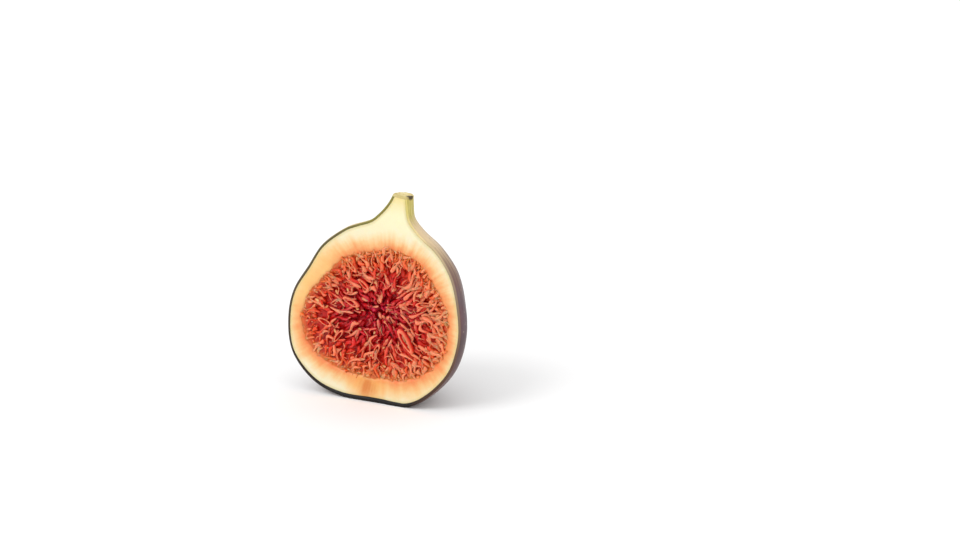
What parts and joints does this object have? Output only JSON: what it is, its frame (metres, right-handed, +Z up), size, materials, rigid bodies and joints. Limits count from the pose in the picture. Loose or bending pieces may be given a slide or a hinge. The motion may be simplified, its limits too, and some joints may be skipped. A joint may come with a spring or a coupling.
{
  "type": "halved fresh fig",
  "caption": "Half of a ripe fresh fig, cut lengthwise, standing on its base and showing dark skin, pale flesh and a red pulp of small florets.",
  "frame": {"origin": "middle of the pressed-flat spot that the half stands on", "axes": "+Z up, along the fruit from its base to its stalk; -Y the way the cut face looks; +X to the right of someone who looks at the cut face"},
  "size_m": [0.0546, 0.0231, 0.0595],
  "materials": {
    "skin": "satin, with a thin waxy bloom",
    "flesh": "moist satin",
    "pulp": "wet gloss",
    "seed": "gloss",
    "stalk": "matt, dry"
  },
  "bodies": {
    "root": {"rind": "skin", "pulp": "pulp"}
  },
  "joints": []
}
